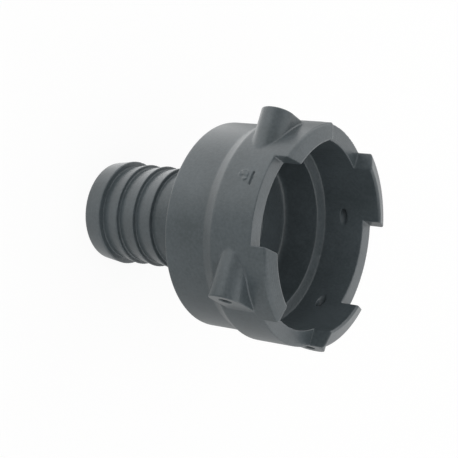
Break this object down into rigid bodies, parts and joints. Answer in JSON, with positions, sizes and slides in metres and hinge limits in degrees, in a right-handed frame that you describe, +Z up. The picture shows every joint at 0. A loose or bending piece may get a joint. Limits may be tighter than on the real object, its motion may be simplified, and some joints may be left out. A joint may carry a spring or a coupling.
{
  "type": "straight hose connector",
  "caption": "Moulded straight hose connector: a socket with claws and tangential screw bosses at one end, a ridged hose tail at the other.",
  "frame": {"origin": "on the axis, at the centre of the tail's end, on which the part stands", "axes": "+Z up the axis toward the socket's mouth, +X along the screw holes, +Y to complete the right hand"},
  "size_m": [0.054, 0.0542, 0.0666],
  "materials": {
    "moulded_plastic": "charcoal, fine moulded grain"
  },
  "bodies": {
    "root": {"connector_body": "moulded_plastic"}
  },
  "joints": []
}
